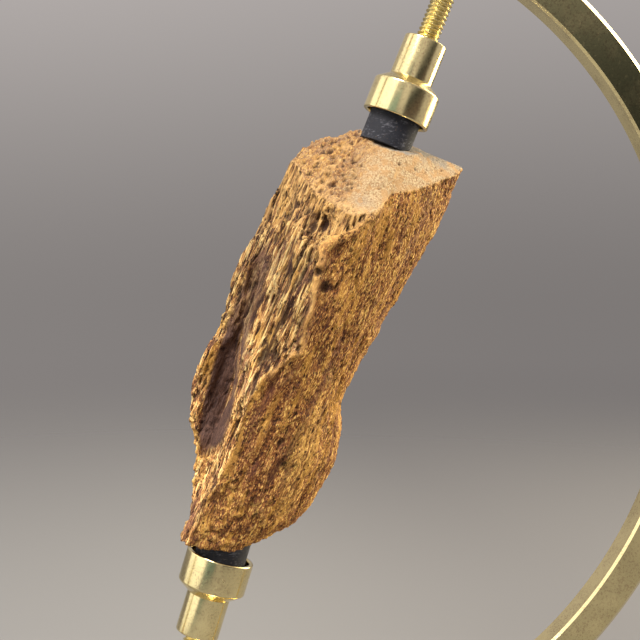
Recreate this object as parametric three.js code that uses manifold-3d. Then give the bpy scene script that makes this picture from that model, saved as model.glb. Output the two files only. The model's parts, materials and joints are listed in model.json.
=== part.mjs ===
// A fossil bone held between two screw clamps in an upright brass ring on a post and a round base.
// Millimetres, +Z up. The origin is the middle of the base disc's underside. The ring stands in the
// XZ plane and is looked at along +Y. The bone lies on a slanted line that passes a little to the right of
// the ring's middle and is also the upper clamp's line. The lower clamp stands a little steeper.

import * as THREE from 'three';
import { mergeVertices } from 'three/addons/utils/BufferGeometryUtils.js';
import { ImprovedNoise } from 'three/addons/math/ImprovedNoise.js';
import Module from 'manifold-3d';

const wasm = await Module();
wasm.setup();

// Ring
const ringInnerRadius = 87.1;
const ringOuterRadius = 95.2;
const ringWidth = 6;
const ringInnerEdge = 0.5;
const ringOuterEdge = 1;
const ringSegments = 60;
const ringCentreHeight = 133;
const holeMargin = 8;

// Stand
const baseRadius = 55;
const baseHeight = 8;
const baseEdge = 1;
const baseSegments = 36;
const postRadius = 7.5;
const postFootRadius = 11;
const postFootHeight = 3;
const postGrip = 4;

// Clamps. The line's middle is given from the ring's middle, to the right and up
const lineMiddle = new THREE.Vector3(4.8, 0, 0.3);
const clampLean = 22.2;
const lowerClampLean = 17.4;
const rodRadius = 2.38;
const cupRadius = 7;
const cupWall = 0.9;
const cupDepth = 5;
const cupLength = 6.7;
const cupShoulder = 1.8;
const neckRadius = 4.5;
const neckLength = 8.5;
const neckBoreDepth = 6;
const cupRear = cupLength + cupShoulder + neckLength;
const cupEdge = 0.35;
const padRadius = 5.3;
const upperRim = 49.5;
const lowerRim = 46.7;
const padReach = 10;
const knobRadius = 6.5;
const knobLength = 8;
const knobEdge = 0.6;
const knobBoreDepth = 5;
const knobGap = 5;
const roundSegments = 20;

// Every two pieces that touch keep this gap, and a rod has it around it in the ring
const gap = 0.3;

// Bone
const rowCount = 40;
const endRings = 3;
const grooveDepth = 0.8;
const grooveSpacing = 2.6;
const grooveLength = 15;
const lumpHeight = 0.55;
const lumpSize = 4.2;

// A small slanted plane at each end of the bone, which the clamp's pad presses on
const topSeat = { height: 44.5, across: 1.4, front: 0, acrossSlope: 0.13, frontSlope: -0.33, radius: 6 };
const bottomSeat = { height: -43.4, across: 0, front: 0, acrossSlope: 0.4, frontSlope: -0.1, radius: 3.6 };

// The bone's outline is carried by lines that run its whole length. A point is given as its place along
// the clamps' line, its place across it to the right, and its distance toward the front.
// steps and bulge belong to the stretch of surface between a line and the next one.
const boneLines = [
  {
    name: 'outer rim', steps: 2, bulge: 0.2,
    points: [
      [-46, -9.2, 2.3], [-40, -9.4, -0.8], [-34.5, -10.6, -2.8], [-27, -13.6, -4.6], [-23, -16, -5.2],
      [-8, -18.7, -5.6], [-4, -17.6, -5.6], [10.5, -18.3, -5.6], [21, -17.4, -5.5], [34.6, -15.9, -4.9],
    ],
  },
  {
    name: 'inner rim', steps: 3, bulge: 0,
    points: [
      [-46.2, -9.2, 3], [-37.5, -9.5, 0.6], [-32, -10.7, -1.2], [-26.5, -12.7, -2.6], [-22.5, -14.7, -3],
      [-7, -17.3, -3], [-3.5, -15.2, -2.6], [11.5, -16.6, -2.6], [21.5, -15.8, -2.4], [33.5, -15.4, -1.6],
    ],
  },
  {
    name: 'hollow', steps: 4, bulge: 0,
    points: [
      [-46.3, -9, 3.7], [-37, -8.9, 1.6], [-30.5, -9.6, -1.4], [-25.5, -10.2, -3.4], [-14, -10.8, -4],
      [-5.5, -12.3, -3.4], [8.5, -14.2, -2], [24, -14.1, 0], [31, -13.6, 2],
    ],
  },
  {
    name: 'left shoulder', steps: 9, bulge: 0.5,
    points: [
      [-46.3, -8.7, 4.4], [-36.5, -8.3, 4], [-29.5, -9, 3.7], [-24, -9.5, 4.6], [-17.5, -10.2, 5.4],
      [-11.5, -11.2, 6], [-4.5, -12.7, 6], [12.5, -13.4, 5.5], [29, -11.4, 5.4],
    ],
  },
  {
    name: 'ridge', steps: 3, bulge: 0,
    points: [
      [-46.2, -8.1, 5.1], [-33.5, -8.2, 8.4], [-23, -7.6, 11], [-15, -8.8, 12.4], [-7.5, -8.6, 13.8],
      [-0.7, -5.7, 15], [7.5, -6.2, 15.6], [13.8, -5.6, 16], [18.5, -6.6, 16], [23.5, -4.3, 16],
      [26.9, -4.7, 15.8],
    ],
  },
  {
    name: 'right of the ridge', steps: 5, bulge: 0.3,
    points: [
      [-45.8, -5.2, 6.2], [-33.5, -4.4, 9.2], [-20, -4, 12], [-8, -4.6, 14], [8, -2.4, 15], [20, -1.8, 15.7],
      [28.6, -0.5, 15.6],
    ],
  },
  {
    name: 'right face', steps: 5, bulge: 0.9,
    points: [
      [-44.3, -0.8, 6.8], [-33.5, 2.4, 9], [-22.5, 3.6, 10], [-11.5, 3.6, 10.4], [-0.5, 4.4, 10.4],
      [12.5, 5.3, 10.4], [25, 4.4, 10.8], [34.4, 3, 10.2],
    ],
  },
  {
    name: 'right turn', steps: 4, bulge: 0.8,
    points: [
      [-42, 3.8, 3.2], [-36.5, 8.4, 3.4], [-30, 10.3, 4], [-16, 10.8, 4.4], [-9.5, 9, 4.2], [-3, 8.6, 4.2],
      [5, 9.6, 4.2], [18, 11.6, 4.2], [32, 13, 4], [41.3, 12.8, 3],
    ],
  },
  {
    name: 'right edge', steps: 5, bulge: 1.6,
    points: [
      [-41.3, 6.3, -2], [-36.5, 11.8, -3], [-31.5, 14.4, -3], [-24, 15.6, -3], [-18.5, 15.5, -3],
      [-12, 13.9, -3], [-8, 12.5, -3], [-3, 12.6, -3], [4.5, 13.6, -3], [17.5, 15.3, -3], [32, 17.5, -3],
      [46.4, 18, -3],
    ],
  },
  {
    name: 'back right', steps: 5, bulge: 1.2,
    points: [
      [-41, 3.8, -7.4], [-31, 9.2, -9.6], [-18, 9.6, -10.6], [-6, 7.4, -10.8], [8, 8.2, -11.2],
      [24, 10.6, -11.4], [38, 12, -10.6], [47, 12.6, -8.8],
    ],
  },
  {
    name: 'back', steps: 5, bulge: 1,
    points: [
      [-43, -2, -6.6], [-32, 0.6, -11], [-18, 0.2, -12.8], [-2, -1.6, -12.4], [14, -0.6, -13.2],
      [30, 0.4, -13], [45.6, -1.4, -10.8],
    ],
  },
  {
    name: 'back left', steps: 4, bulge: 0.8,
    points: [
      [-45.2, -7.2, -1.6], [-36, -7.6, -5.8], [-24, -11, -9], [-8, -13, -10], [6, -12.4, -10.4],
      [22, -12.6, -10.6], [40.6, -11.8, -8.6],
    ],
  },
];

// Broken places and knobs of the bone: where, how wide, how high (below zero for a hollow), and how many
// times longer than wide along the bone
const boneFeatures = [
  { name: 'break under the tongue', at: [22.5, -8.6, 11.6], radius: 4.4, height: -3, stretch: 1 },
  { name: 'canal beside the break', at: [26.4, -11, 5.6], radius: 2, height: -1.8, stretch: 1.4 },
  { name: 'knob on the ridge', at: [22.2, -3.8, 16], radius: 2.4, height: 1, stretch: 0.9 },
  { name: 'ledge on the ridge', at: [17, -6.6, 15.8], radius: 2.6, height: 0.8, stretch: 1.2 },
  { name: 'dish in the top', at: [34, -2.6, 11], radius: 5.5, height: -1.2, stretch: 1 },
  { name: 'hole in the top', at: [38.4, -4.6, 3], radius: 2, height: -1.2, stretch: 1 },
  { name: 'bump behind the upper pad', at: [44.8, -5.6, -7.6], radius: 3.4, height: 1.6, stretch: 1 },
  { name: 'lump on the rim', at: [0.6, -16.2, -2.6], radius: 2.4, height: 1, stretch: 1.5 },
  { name: 'floor of the hollow', at: [-17, -12, -3.4], radius: 3.4, height: -0.9, stretch: 3 },
  { name: 'dent in the right face', at: [-14, -3, 12.6], radius: 3, height: -0.9, stretch: 1.3 },
  { name: 'pit low on the right face', at: [-24, 3.2, 10.2], radius: 2.4, height: -1, stretch: 1 },
  { name: 'waist of the right edge', at: [-9, 12.4, -2.6], radius: 4, height: -0.7, stretch: 1 },
  { name: 'chip in the back', at: [16, -3, -14], radius: 6, height: -1.6, stretch: 1.4 },
  { name: 'swelling of the back', at: [-14, 2, -13], radius: 7, height: 1, stretch: 1.6 },
];

const boneMaterial = new THREE.MeshStandardMaterial({ color: 0xa6713a, roughness: 0.95, metalness: 0 });
const brassMaterial = new THREE.MeshStandardMaterial({ color: 0xd8b662, roughness: 0.12, metalness: 1 });
const rubberMaterial = new THREE.MeshStandardMaterial({ color: 0x1d1d20, roughness: 0.85, metalness: 0 });

function solidOf(geometry) {
  const bare = geometry.clone();
  bare.deleteAttribute('normal');
  bare.deleteAttribute('uv');
  const merged = mergeVertices(bare, 1e-3);
  return new wasm.Manifold(new wasm.Mesh({
    numProp: 3,
    vertProperties: Float32Array.from(merged.attributes.position.array),
    triVerts: Uint32Array.from(merged.index.array),
  }));
}

function geometryOf(solid) {
  const mesh = solid.getMesh();
  const geometry = new THREE.BufferGeometry();
  geometry.setAttribute('position', new THREE.BufferAttribute(mesh.vertProperties, 3));
  geometry.setIndex(new THREE.BufferAttribute(mesh.triVerts, 1));
  geometry.computeVertexNormals();
  return geometry;
}

function namedMesh(name, geometry, material) {
  const mesh = new THREE.Mesh(geometry, material.clone());
  mesh.name = name;
  return mesh;
}

// A turned piece about the Z axis, from an outline of [radius, height] points
function turned(outline, segments) {
  const points = outline.map(([radius, height]) => new THREE.Vector2(radius, height));
  return new THREE.LatheGeometry(points, segments).rotateX(Math.PI / 2);
}

function cylinderAlongZ(radius, from, to, segments) {
  return turned([[0, from], [radius, from], [radius, to], [0, to]], segments);
}

// The bar that is bent into the ring: an outline in radius and width, turned about the Y axis.
// The margin makes it larger all round.
function ringBar(margin) {
  const inner = ringInnerRadius - margin;
  const outer = ringOuterRadius + margin;
  const half = ringWidth / 2 + margin;
  const outline = [
    [inner, -half + ringInnerEdge], [inner + ringInnerEdge, -half], [outer - ringOuterEdge, -half],
    [outer, -half + ringOuterEdge], [outer, half - ringOuterEdge], [outer - ringOuterEdge, half],
    [inner + ringInnerEdge, half], [inner, half - ringInnerEdge], [inner, -half + ringInnerEdge],
  ];
  return new THREE.LatheGeometry(outline.map(([radius, y]) => new THREE.Vector2(radius, y)), ringSegments);
}

// A clamp's own frame, from the ring's middle: the origin is in its cup's rim, and Z points out from the bone
function clampFrame(upper) {
  const boneLean = THREE.MathUtils.degToRad(clampLean);
  const lean = upper ? boneLean : THREE.MathUtils.degToRad(lowerClampLean) + Math.PI;
  const rim = upper ? upperRim : -lowerRim;
  const along = new THREE.Vector3(Math.sin(boneLean), 0, Math.cos(boneLean));
  return new THREE.Matrix4().makeRotationY(lean).setPosition(lineMiddle.clone().addScaledVector(along, rim));
}

// How far along a clamp's line from its rim a circle around the ring's middle is
function distanceToCircle(upper, radius) {
  const frame = clampFrame(upper);
  const start = new THREE.Vector3().setFromMatrixPosition(frame);
  const along = start.dot(new THREE.Vector3().setFromMatrixColumn(frame, 2));
  return -along + Math.sqrt(along ** 2 + radius ** 2 - start.lengthSq());
}

function makeRing() {
  let ring = solidOf(ringBar(0));
  for (const upper of [true, false]) {
    const from = distanceToCircle(upper, ringInnerRadius) - holeMargin;
    const to = distanceToCircle(upper, ringOuterRadius) + holeMargin;
    const hole = cylinderAlongZ(rodRadius + gap, from, to, roundSegments);
    hole.applyMatrix4(clampFrame(upper));
    ring = ring.subtract(solidOf(hole));
  }
  return namedMesh('ring', geometryOf(ring), brassMaterial);
}

function makeBase() {
  const outline = [
    [0, 0], [baseRadius - baseEdge, 0], [baseRadius, baseEdge], [baseRadius, baseHeight - baseEdge],
    [baseRadius - baseEdge, baseHeight], [0, baseHeight],
  ];
  return namedMesh('base', turned(outline, baseSegments), brassMaterial);
}

// The post stands on the base and grips the ring's lowest part in a slot
function makePost() {
  const foot = baseHeight + gap;
  const top = ringCentreHeight - ringOuterRadius + postGrip;
  const outline = [
    [0, foot], [postFootRadius, foot], [postFootRadius, foot + postFootHeight / 2],
    [postRadius, foot + postFootHeight], [postRadius, top - baseEdge], [postRadius - baseEdge, top],
    [0, top],
  ];
  const slot = ringBar(gap).translate(0, 0, ringCentreHeight);
  const post = solidOf(turned(outline, roundSegments)).subtract(solidOf(slot));
  return namedMesh('post', geometryOf(post), brassMaterial);
}

// Place on a bone line at a share of its length, 0 at the bottom end and 1 at the top end
function placeOnLine(line, share) {
  const first = line.points[0][0];
  const last = line.points[line.points.length - 1][0];
  const along = THREE.MathUtils.lerp(first, last, share);
  const alongs = line.points.map((point) => point[0]);
  const sides = line.points.flatMap((point) => [point[1], point[2]]);
  const [across, front] = new THREE.CubicInterpolant(alongs, sides, 2).evaluate(along);
  return [along, across, front];
}

// One closed outline around the bone, as [along, across, front] places
function boneSection(share) {
  const corners = boneLines.map((line) => placeOnLine(line, share));
  const places = [];
  corners.forEach((start, index) => {
    const end = corners[(index + 1) % corners.length];
    const { steps, bulge } = boneLines[index];
    const side = new THREE.Vector2(end[1] - start[1], end[2] - start[2]).normalize();
    for (let step = 0; step < steps; step += 1) {
      const part = step / steps;
      const swell = 4 * bulge * part * (1 - part);
      places.push([
        THREE.MathUtils.lerp(start[0], end[0], part),
        THREE.MathUtils.lerp(start[1], end[1], part) - side.y * swell,
        THREE.MathUtils.lerp(start[2], end[2], part) + side.x * swell,
      ]);
    }
  });
  return places;
}

function seatPlace(seat, across, front) {
  const height = seat.height + seat.acrossSlope * across + seat.frontSlope * front;
  return [height, across, front];
}

// The bone's end, as outlines that close in from its edge to the seat and over the seat to its middle
function endSections(outline, seat) {
  const rim = outline.map(([, across, front]) => {
    const away = new THREE.Vector2(across - seat.across, front - seat.front).setLength(seat.radius);
    return seatPlace(seat, seat.across + away.x, seat.front + away.y);
  });
  const between = (part) => outline.map((place, index) => place.map(
    (value, axis) => THREE.MathUtils.lerp(value, rim[index][axis], part),
  ));
  const inner = rim.map(([, across, front]) => seatPlace(
    seat,
    (across + seat.across) / 2,
    (front + seat.front) / 2,
  ));
  const closing = [];
  for (let ring = 1; ring < endRings; ring += 1) {
    closing.push(between(ring / endRings));
  }
  return [...closing, rim, inner];
}

function boneSections() {
  const sections = endSections(boneSection(0), bottomSeat).reverse();
  for (let row = 0; row <= rowCount; row += 1) {
    sections.push(boneSection(row / rowCount));
  }
  return [...sections, ...endSections(boneSection(1), topSeat)];
}

// The surface over all sections, closed in the middle of each seat; x is across, y is away from the front
function boneSurface(sections) {
  const around = sections[0].length;
  const places = [
    ...sections.flat(),
    seatPlace(bottomSeat, bottomSeat.across, bottomSeat.front),
    seatPlace(topSeat, topSeat.across, topSeat.front),
  ];
  const bottom = places.length - 2;
  const top = places.length - 1;
  const faces = [];
  for (let row = 0; row + 1 < sections.length; row += 1) {
    for (let step = 0; step < around; step += 1) {
      const next = (step + 1) % around;
      const a = row * around + step;
      const b = row * around + next;
      faces.push(a, b, b + around, a, b + around, a + around);
    }
  }
  const lastRow = (sections.length - 1) * around;
  for (let step = 0; step < around; step += 1) {
    const next = (step + 1) % around;
    faces.push(bottom, next, step, top, lastRow + step, lastRow + next);
  }
  const geometry = new THREE.BufferGeometry();
  const positions = places.flatMap(([along, across, front]) => [across, -front, along]);
  geometry.setAttribute('position', new THREE.Float32BufferAttribute(positions, 3));
  geometry.setIndex(faces);
  geometry.computeVertexNormals();
  return geometry;
}

// How far a feature lifts the surface at a place
function featureLift(feature, place) {
  const [along, across, front] = feature.at;
  const far = Math.hypot(
    (place.z - along) / feature.stretch,
    place.x - across,
    -place.y - front,
  ) / feature.radius;
  return far < 1 ? feature.height * (1 - far * far) ** 2 : 0;
}

// Grooves run lengthwise on the left face and fade into lumps toward the right
function grainLift(noise, place) {
  const groove = noise.noise(place.x / grooveSpacing, place.y / grooveSpacing, place.z / grooveLength);
  const lump = noise.noise(place.x / lumpSize + 40, place.y / lumpSize, place.z / lumpSize);
  const left = THREE.MathUtils.smoothstep(-place.x, 0, 9);
  return left * grooveDepth * (0.2 - 2.5 * Math.abs(groove)) + (1 - left) * lumpHeight * lump;
}

function makeBoneGeometry() {
  const geometry = boneSurface(boneSections());
  const noise = new ImprovedNoise();
  const position = geometry.attributes.position;
  const normal = geometry.attributes.normal;
  const place = new THREE.Vector3();
  const outward = new THREE.Vector3();
  for (let index = 0; index < position.count; index += 1) {
    place.fromBufferAttribute(position, index);
    outward.fromBufferAttribute(normal, index);
    const onEnd = THREE.MathUtils.smoothstep(Math.abs(outward.z), 0.5, 0.9);
    let lift = (1 - onEnd) * grainLift(noise, place);
    for (const feature of boneFeatures) {
      lift += featureLift(feature, place);
    }
    place.addScaledVector(outward, lift);
    position.setXYZ(index, place.x, place.y, place.z);
  }
  geometry.computeVertexNormals();
  return geometry;
}

// The pieces of one clamp, in its own frame
function cupGeometry() {
  const inside = cupRadius - cupWall;
  const bore = rodRadius + gap;
  const outline = [
    [0, cupDepth], [inside, cupDepth], [inside, cupEdge], [inside + cupEdge, 0], [cupRadius - cupEdge, 0],
    [cupRadius, cupEdge], [cupRadius, cupLength], [neckRadius, cupLength + cupShoulder],
    [neckRadius, cupRear - cupEdge], [neckRadius - cupEdge, cupRear], [bore, cupRear],
    [bore, cupRear - neckBoreDepth], [0, cupRear - neckBoreDepth],
  ];
  return turned(outline, roundSegments);
}

function rodGeometry(upper) {
  const outer = distanceToCircle(upper, ringOuterRadius) + knobGap + knobBoreDepth;
  return cylinderAlongZ(rodRadius, cupRear - neckBoreDepth + gap, outer - gap, roundSegments);
}

function knobGeometry(upper) {
  const near = distanceToCircle(upper, ringOuterRadius) + knobGap;
  const far = near + knobLength;
  const outline = [
    [0, near + knobBoreDepth], [rodRadius + gap, near + knobBoreDepth], [rodRadius + gap, near],
    [knobRadius - knobEdge, near], [knobRadius, near + knobEdge], [knobRadius, far - knobEdge],
    [knobRadius - knobEdge, far], [0, far],
  ];
  return turned(outline, roundSegments);
}

// The rubber pad sits in the cup and is pressed to the bone's own shape
function padGeometry(upper, boneGeometry) {
  const toClamp = clampFrame(upper).invert().multiply(boneFrame());
  const bone = solidOf(boneGeometry.clone().applyMatrix4(toClamp)).translate([0, 0, gap]);
  const pad = solidOf(cylinderAlongZ(padRadius, -padReach, cupDepth - gap, roundSegments));
  return geometryOf(pad.subtract(bone));
}

function boneFrame() {
  return new THREE.Matrix4().makeRotationY(THREE.MathUtils.degToRad(clampLean)).setPosition(lineMiddle);
}

function makeClamp(name, upper, boneGeometry) {
  const clamp = new THREE.Group();
  clamp.applyMatrix4(clampFrame(upper));
  clamp.add(
    namedMesh(`${name}_rod`, rodGeometry(upper), brassMaterial),
    namedMesh(`${name}_cup`, cupGeometry(), brassMaterial),
    namedMesh(`${name}_pad`, padGeometry(upper, boneGeometry), rubberMaterial),
    namedMesh(`${name}_knob`, knobGeometry(upper), brassMaterial),
  );
  return clamp;
}

function makeBone(boneGeometry) {
  const bone = namedMesh('bone', boneGeometry, boneMaterial);
  bone.applyMatrix4(boneFrame());
  return bone;
}

const boneGeometry = makeBoneGeometry();

// What is placed from the ring's middle
const held = new THREE.Group();
held.position.z = ringCentreHeight;
held.add(
  makeRing(),
  makeBone(boneGeometry),
  makeClamp('upper', true, boneGeometry),
  makeClamp('lower', false, boneGeometry),
);

const fossil = new THREE.Group();
fossil.add(held, makePost(), makeBase());

export default fossil;
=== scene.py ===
# The looks of the fossil bone and its brass stand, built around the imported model.
# Sizes named _MM are in millimetres; everything given to Blender is in metres.

import json
import math

import bmesh
import bpy
import numpy as np
from mathutils import Matrix, Vector
from mathutils.bvhtree import BVHTree


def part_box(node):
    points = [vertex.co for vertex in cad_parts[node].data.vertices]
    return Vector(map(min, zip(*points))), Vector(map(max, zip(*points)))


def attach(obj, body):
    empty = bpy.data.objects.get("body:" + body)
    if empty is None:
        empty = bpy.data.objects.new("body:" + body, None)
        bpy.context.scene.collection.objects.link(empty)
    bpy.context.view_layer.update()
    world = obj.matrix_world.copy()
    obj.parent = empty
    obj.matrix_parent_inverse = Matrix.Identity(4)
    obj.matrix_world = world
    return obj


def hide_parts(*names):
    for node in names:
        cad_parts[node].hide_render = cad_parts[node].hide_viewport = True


MM = 0.001

# Camera, placed from the middle of the bone's line
CAMERA_TARGET_MM = (3.1, 0.0, 4.9)
CAMERA_DISTANCE_MM = 252.1
CAMERA_YAW = 10.77
CAMERA_PITCH = 5.33
CAMERA_LENS = 69.17
CAMERA_SENSOR = 36.0
CAMERA_CLIP = 0.01

# Meshes
SHARP_DEGREES = 35
WELD = 1e-7
CLOSE_MM = 0.002

# Ring and stand
RING_INNER_MM = 87.1
RING_OUTER_MM = 95.2
RING_WIDTH_MM = 6.0
RING_INNER_EDGE_MM = 0.5
RING_OUTER_EDGE_MM = 1.0
RING_SEGMENTS = 360
HOLE_RADIUS_MM = 2.68
HOLE_START_MM = 20
HOLE_END_MM = 55
BASE_RADIUS_MM = 55.0
BASE_HEIGHT_MM = 8.0
POST_RADIUS_MM = 7.5
POST_FOOT_RADIUS_MM = 11.0
POST_FOOT_HEIGHT_MM = 3.0
POST_FOOT_SLOPE_MM = 1.5
POST_GRIP_MM = 4.0
POST_SLOT_MARGIN_MM = 0.05
GAP_MM = 0.3
STAND_EDGE_MM = 1.0
STAND_SEGMENTS = 128

# Clamps, in a clamp's own frame: Z points out from the bone and is 0 at the cup's rim
ROD_RADIUS_MM = 2.38
THREAD_PITCH_MM = 0.96
THREAD_DEPTH_MM = 0.42
THREAD_STEPS = 8
THREAD_FLANK = 1.25
THREAD_FLAT = 0.1
ROD_SEGMENTS = 64
CUP_RADIUS_MM = 7.0
CUP_INSIDE_MM = 6.1
CUP_DEPTH_MM = 5.0
CUP_LENGTH_MM = 6.7
CUP_SHOULDER_MM = 1.8
CUP_EDGE_MM = 0.35
NECK_RADIUS_MM = 4.5
NECK_LENGTH_MM = 8.5
NECK_BORE_MM = 6.0
CLAMP_SEGMENTS = 96
PAD_RADIUS_MM = 5.3
PAD_SEAT_MM = CUP_DEPTH_MM - GAP_MM
PAD_GAP_MM = 0.03
PAD_EASING_MM = 0.15
PAD_RINGS = 12
PAD_SIDE_ROWS = 6
KNOB_RADIUS_MM = 6.5
KNOB_EDGE_MM = 0.6
KNOB_BORE_MM = 5.0
KNOB_TEETH = 60
KNOB_GROOVE_MM = 0.25

# Bone
UPPER_RIM_MM = 49.5
BONE_CELL_MM = 0.275
BONE_STRETCH = 0.55

# Brass and rubber: colours and roughness
POLISHED = (0.87, 0.74, 0.39)
THREADED = (0.90, 0.75, 0.34)
TARNISH = (0.44, 0.30, 0.17)
DULLER = 0.86
RING_ROUGHNESS = 0.11
STAND_ROUGHNESS = 0.14
CUP_ROUGHNESS = 0.17
THREAD_ROUGHNESS = 0.27
RUBBER = (0.006, 0.007, 0.013)
RUBBER_SCUFFS = (0.13, 0.13, 0.15)
RUBBER_DUST = (0.22, 0.15, 0.09)

# Bone colours, and ramps of (place, colour) from dark to light
LEFT_RAMP = (
    (0.42, (0.070, 0.026, 0.013)), (0.47, (0.30, 0.120, 0.040)), (0.515, (0.70, 0.37, 0.11)),
    (0.58, (0.98, 0.72, 0.30)),
)
LEFT_GOLD = (0.62, 0.34, 0.07)
LEFT_BROWN = (0.19, 0.085, 0.05)
LEFT_SHOULDER = (0.78, 0.45, 0.15)
RIGHT_RAMP = (
    (0.40, (0.06, 0.019, 0.008)), (0.46, (0.21, 0.074, 0.021)), (0.53, (0.37, 0.155, 0.037)),
    (0.61, (0.86, 0.54, 0.15)),
)
RIGHT_GOLD = (0.56, 0.29, 0.05)
RIGHT_BROWN = (0.14, 0.05, 0.022)
RUSSET_SHADE = (0.86, 0.79, 0.86)
GILDED = (0.86, 0.52, 0.14)
TOP_RAMP = (
    (0.34, (0.27, 0.145, 0.060)), (0.46, (0.41, 0.27, 0.135)), (0.62, (0.55, 0.42, 0.24)),
)
# Flat parts of the top: partly their own greyer tone, partly painted shade where they face the light most
FLAT_TONE_AND_SHADE_RAMP = ((0.34, (0.19, 0.165, 0.13)), (0.58, (0.30, 0.262, 0.215)))
TOP_TAN = (0.45, 0.255, 0.10)
TOP_CRUMBS = (0.28, 0.135, 0.05)
HOLLOW_RAMP = ((0.36, (0.055, 0.025, 0.020)), (0.66, (0.17, 0.088, 0.06)))
# Painted highlight: the lit colour of the ridges, laid on the crests of the raised relief
PAINTED_CREST_HIGHLIGHT = (0.76, 0.48, 0.16)
# Painted highlight along the raised layer's broken edge
PAINTED_LEDGE_HIGHLIGHT = (0.76, 0.42, 0.13)
# Painted highlight along the edge of the broken top
PAINTED_BRINK_HIGHLIGHT = (0.72, 0.44, 0.18)
# Painted shade in the canals, slits and pits
PAINTED_PIT_SHADE = (0.04, 0.016, 0.010)
# Painted shade in pits too fine for the mesh
PAINTED_FINE_PIT_SHADE = (0.055, 0.022, 0.011)

# Room. A part starts, is full from and to, and ends at angles in radians, to the right of straight ahead.
# Changes with height run from one height to another, where 1 is overhead, and from one value to another
ROOM = (1.0, 0.922, 0.89)
BRIGHTER_ABOVE = (-0.09, 0.31, 0.235, 0.525)
DARKER_ASIDE = (-0.1, 0.4, 1.0, 0.88)
WINDOW = (-1.9, -1.2, -0.8, -0.6)
DOOR_FRAME = (-0.3, -0.12, 0.04, 0.14)
SIDE_WALL = (0.9, 1.15, 1.7, 1.9)
PALE_PARTS = ((WINDOW, 0.16), (DOOR_FRAME, 0.2), (SIDE_WALL, 0.4))
COOL_WALL = (-0.95, -0.7, -0.4, -0.25)
COOL_WALL_TOP = (0.45, 0.3)
COOL_WALL_COLOUR = (0.70, 0.98, 1.0)
COOL_WALL_DARKER = 0.15
DOORWAY = (0.04, 0.2, 0.82, 1.05)
DOORWAY_TOP = (0.24, 0.10)
DOORWAY_LOW = (0.06, -0.08)
DOORWAY_DARKER = 0.88
DOORWAY_LOW_LIGHT = 0.43
DOORWAY_LOW_COLOUR = (1.0, 0.74, 0.68)
DOORWAY_HIGH_COLOUR = (0.90, 1.0, 1.0)
# The floor's colour, and a painted shade that darkens it toward the right
FLOOR_COLOUR = (0.206, 0.206, 0.210)
FLOOR_RIGHT_PAINTED_SHADE = (0.149, 0.149, 0.158)
FLOOR_RADIUS = 1.3
FLOOR_SEGMENTS = 96
FLOOR_FADE = (0.25, 1.1)
FLOOR_SHADING = (-0.02, 0.17)

# Lights: place from the middle of the bone's line, size in metres, power in watts, and whether polished
# metal mirrors them
LIGHTS = {
    "key softbox": {"at": (-0.22, -0.30, 0.62), "size": (0.30, 0.30), "power": 7.0,
                    "colour": (1.0, 0.96, 0.92)},
    "left panel": {"at": (-0.62, -0.06, 0.36), "size": (1.1, 1.3), "power": 4.4,
                   "colour": (1.0, 0.97, 0.90)},
    "right panel": {"at": (0.60, -0.40, 0.20), "size": (0.6, 1.0), "power": 4.5,
                    "colour": (1.0, 0.93, 0.82), "mirrored": False},
    "right strip": {"at": (0.68, 0.20, 0.18), "size": (0.34, 0.8), "power": 10.5,
                    "colour": (1.0, 0.86, 0.58)},
}


# Mesh helpers


def read_vertices(mesh):
    """A mesh's vertices as an array of rows."""
    places = np.empty(len(mesh.vertices) * 3)
    mesh.vertices.foreach_get("co", places)
    return places.reshape(-1, 3)


def read_normals(mesh):
    """A mesh's vertex normals as an array of rows."""
    normals = np.empty(len(mesh.vertices) * 3)
    mesh.vertex_normals.foreach_get("vector", normals)
    return normals.reshape(-1, 3)


def edit(mesh, change):
    """Has a function change a mesh that is open for editing."""
    work = bmesh.new()
    work.from_mesh(mesh)
    change(work)
    work.to_mesh(mesh)
    work.free()


def new_object(name, data):
    """An object in the scene for a mesh, a camera or a light."""
    made = bpy.data.objects.new(name, data)
    bpy.context.scene.collection.objects.link(made)
    return made


def new_piece(name, places, faces, material, body, node):
    """A smooth-shaded piece in metres that stands for a CAD node and moves with a body."""
    mesh = bpy.data.meshes.new(name)
    mesh.from_pydata([tuple(place) for place in places], [], faces)
    mesh.shade_smooth()
    mesh.set_sharp_from_angle(angle=math.radians(SHARP_DEGREES))
    piece = new_object(name, mesh)
    return finish_piece(piece, material, body, node)


def finish_piece(piece, material, body, node):
    """Gives a piece its material, its body and the node that it stands for."""
    piece.data.materials.clear()
    piece.data.materials.append(material)
    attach(piece, body)
    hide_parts(node)
    return piece


def apply_modifiers(piece):
    """Replaces a piece's mesh by what its modifiers make of it."""
    bpy.context.view_layer.update()
    graph = bpy.context.evaluated_depsgraph_get()
    mesh = bpy.data.meshes.new_from_object(piece.evaluated_get(graph))
    piece.modifiers.clear()
    piece.data = mesh


def turned_surface(outline_mm, segments, radius_change=None):
    """Vertices in metres and faces of an outline of (radius, height) turned about Z.
    radius_change gives for a row and a step how much the radius differs there."""
    places = []
    rows = []
    for row, (radius, height) in enumerate(outline_mm):
        if radius == 0:
            rows.append([len(places)] * segments)
            places.append((0.0, 0.0, height * MM))
            continue
        rows.append([len(places) + step for step in range(segments)])
        for step in range(segments):
            angle = 2 * math.pi * step / segments
            here = radius + (radius_change(row, step) if radius_change else 0)
            places.append((here * MM * math.cos(angle), here * MM * math.sin(angle), height * MM))
    faces = []
    for lower, upper in zip(rows, rows[1:]):
        for step in range(segments):
            after = (step + 1) % segments
            corners = [lower[step], lower[after], upper[after], upper[step]]
            faces.append(list(dict.fromkeys(corners)))
    return places, faces


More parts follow.
